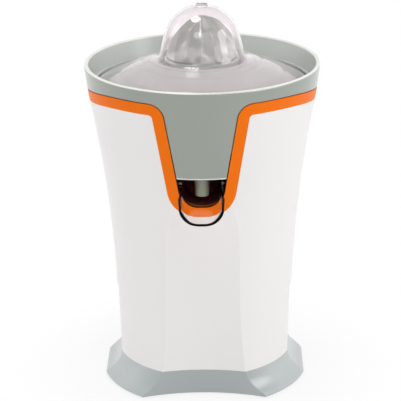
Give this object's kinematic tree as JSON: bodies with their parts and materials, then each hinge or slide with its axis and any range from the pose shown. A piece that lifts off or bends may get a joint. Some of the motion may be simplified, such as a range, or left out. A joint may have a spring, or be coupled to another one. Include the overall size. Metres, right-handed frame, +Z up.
{
  "type": "citrus press juicer",
  "caption": "Upright electric citrus press with a waisted white body, grey bowl and flared base, orange trim line, clear domed lid and a tilting clear spout.",
  "frame": {"origin": "on the upright axis of the body, at the underside of the feet", "axes": "+Z up, -Y towards the spout, +X to the right when the spout is seen from the front"},
  "size_m": [0.1796, 0.1818, 0.2991],
  "materials": {
    "white_shell": "glossy white moulding",
    "orange_trim": "glossy orange moulding",
    "grey_plastic": "satin grey moulding",
    "black_liner": "black moulding",
    "clear_smoke": "clear moulding with a slight smoke tint",
    "clear_lid": "clear moulding, slightly hazy",
    "cone_grey": "glossy light grey moulding",
    "steel_sheet": "brushed sheet",
    "steel_bar": "ground bar",
    "screw_steel": "bright zinc plate",
    "can_steel": "dark grey paint",
    "core_steel": "laminated steel",
    "copper": "enamelled copper wire",
    "bush_bronze": "oiled sintered bronze",
    "gear_nylon": "natural nylon",
    "grey_inner": "dull grey moulding",
    "black_rubber": "moulded rubber",
    "seal_rubber": "moulded rubber",
    "switch_black": "dull black moulding",
    "switch_red": "dull red moulding"
  },
  "bodies": {
    "stand": {"body_shell": "white_shell", "orange_trim": "orange_trim", "base_shell": "grey_plastic", "cord_inlet": "black_rubber", "bottom_plate": "grey_inner", "rubber_feet": "black_rubber", "bottom_screws": "screw_steel", "spout_pocket": "black_liner", "spout_pins": "steel_bar", "top_deck": "grey_inner", "deck_screws": "screw_steel", "gearbox_housing": "grey_inner", "gearbox_cover": "grey_inner", "gear_bush": "bush_bronze", "idler_axle": "steel_bar", "gearbox_screws": "screw_steel", "deck_bush": "bush_bronze", "shaft_seal": "seal_rubber", "motor_can": "can_steel", "motor_bushes": "bush_bronze", "motor_end_cap": "grey_inner", "stator_core": "core_steel", "stator_windings": "copper", "motor_screws": "screw_steel", "micro_switch": "switch_black"},
    "rotor": {"rotor": "steel_bar", "rotor_pinion": "bush_bronze"},
    "idler": {"idler_gear": "gear_nylon"},
    "output": {"output_gear": "gear_nylon", "gear_clip": "steel_bar", "return_spring": "steel_bar"},
    "shaft": {"drive_shaft": "steel_bar"},
    "cone": {"reamer_cone": "cone_grey"},
    "bowl": {"juice_bowl": "grey_plastic", "juice_nozzle": "grey_plastic"},
    "strainer": {"strainer": "steel_sheet"},
    "lid": {"lid": "clear_lid"},
    "spout": {"spout_trough": "clear_smoke"},
    "plunger": {"switch_plunger": "switch_red"}
  },
  "joints": [
    {"name": "rotor_spin", "type": "hinge", "parent": "stand", "child": "rotor", "pos_m": [0, 0, 0.12], "axis": [0, 0, 1], "continuous": true},
    {"name": "idler_spin", "type": "hinge", "parent": "stand", "child": "idler", "pos_m": [0, 0.026, 0.155], "axis": [0, 0, 1], "continuous": true},
    {"name": "output_spin", "type": "hinge", "parent": "stand", "child": "output", "pos_m": [0, 0, 0.165], "axis": [0, 0, 1], "continuous": true},
    {"name": "cone_press", "type": "slide", "parent": "output", "child": "shaft", "axis": [0, 0, 1], "range_m": [-0.0025, 0], "stiffness_N_per_m": 900, "springref_m": 0.004, "deforming": ["return_spring"]},
    {"name": "switch_press", "type": "slide", "parent": "stand", "child": "plunger", "axis": [0, 0, 1], "range_m": [-0.0025, 0]},
    {"name": "cone_lift", "type": "slide", "parent": "shaft", "child": "cone", "axis": [0, 0, 1], "range_m": [0, 0.09]},
    {"name": "bowl_lift", "type": "slide", "parent": "stand", "child": "bowl", "axis": [0, 0, 1], "range_m": [0, 0.09]},
    {"name": "strainer_lift", "type": "slide", "parent": "bowl", "child": "strainer", "axis": [0, 0, 1], "range_m": [0, 0.06]},
    {"name": "lid_lift", "type": "slide", "parent": "strainer", "child": "lid", "axis": [0, 0, 1], "range_m": [0, 0.06]},
    {"name": "spout_tilt", "type": "hinge", "parent": "stand", "child": "spout", "pos_m": [0, -0.062, 0.177], "axis": [-1, 0, 0], "range_deg": [0, 22]}
  ],
  "couplings": [
    {"joint": "idler_spin", "follows": "rotor_spin", "ratio": -0.18182},
    {"joint": "output_spin", "follows": "rotor_spin", "ratio": 0.054545},
    {"joint": "switch_press", "follows": "cone_press", "ratio": 1},
    {"joint": "cone_lift", "follows": "bowl_lift", "ratio": 1}
  ]
}
